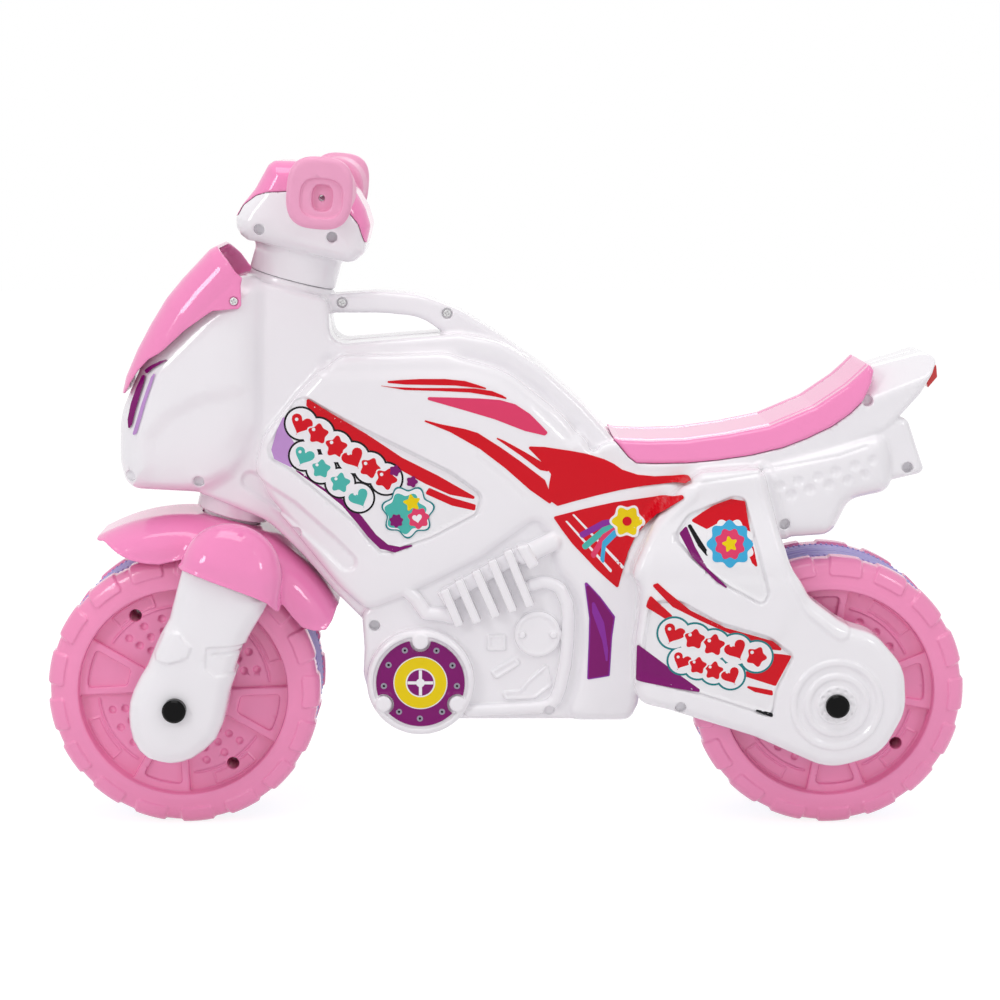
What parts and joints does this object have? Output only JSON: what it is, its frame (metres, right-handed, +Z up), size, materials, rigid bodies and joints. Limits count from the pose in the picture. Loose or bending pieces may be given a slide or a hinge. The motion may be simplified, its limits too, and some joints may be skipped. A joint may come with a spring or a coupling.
{
  "type": "ride-on motorcycle",
  "caption": "Child's foot-to-floor ride-on motorcycle with white moulded frame, pink windshield, seat, fender and wheels, and steering handlebar.",
  "frame": {"origin": "on the ground, half way between the two wheels, in the centre plane", "axes": "X runs from front to rear, -Y is the rider's left side, +Z is up"},
  "size_m": [0.7159, 0.296, 0.5227],
  "materials": {
    "white_shell": "glossy moulded",
    "pink_shell": "glossy moulded",
    "pink_wheel": "satin moulded",
    "lavender_band": "satin",
    "grip_plastic": "satin",
    "red_lens": "glossy",
    "black_cap": "satin",
    "zinc": "zinc plated"
  },
  "bodies": {
    "frame": {"frame_left": "white_shell", "frame_right": "white_shell", "frame_screws": "zinc", "seat": "pink_shell", "visor": "pink_shell", "visor_screws": "zinc", "tail_light": "red_lens", "rear_axle": "zinc", "rear_axle_caps": "black_cap", "rear_washers": "zinc"},
    "steering": {"fork_left": "white_shell", "fork_right": "white_shell", "fork_screws": "zinc", "front_fender": "pink_shell", "handlebar_left": "white_shell", "handlebar_right": "white_shell", "handlebar_cover": "pink_shell", "handlebar_screws": "zinc", "grip_left": "grip_plastic", "grip_right": "grip_plastic", "grip_screws": "zinc", "stem_bolt": "zinc", "stem_nut": "zinc", "front_axle": "zinc", "front_axle_caps": "black_cap", "front_washers": "zinc"},
    "front_wheel": {"front_wheel_left": "pink_wheel", "front_wheel_right": "pink_wheel", "front_tread_band": "lavender_band", "front_wheel_screws": "zinc"},
    "rear_wheel": {"rear_wheel_left": "pink_wheel", "rear_wheel_right": "pink_wheel", "rear_tread_band": "lavender_band", "rear_wheel_screws": "zinc"}
  },
  "joints": [
    {"name": "steering_turn", "type": "hinge", "parent": "frame", "child": "steering", "pos_m": [-0.2515, 0, 0.1066], "axis": [0.2588, 0, 0.9659], "range_deg": [-20, 20]},
    {"name": "front_wheel_spin", "type": "hinge", "parent": "steering", "child": "front_wheel", "pos_m": [-0.2515, 0, 0.1066], "axis": [0, 1, 0], "continuous": true},
    {"name": "rear_wheel_spin", "type": "hinge", "parent": "frame", "child": "rear_wheel", "pos_m": [0.2515, 0, 0.1066], "axis": [0, 1, 0], "continuous": true}
  ]
}
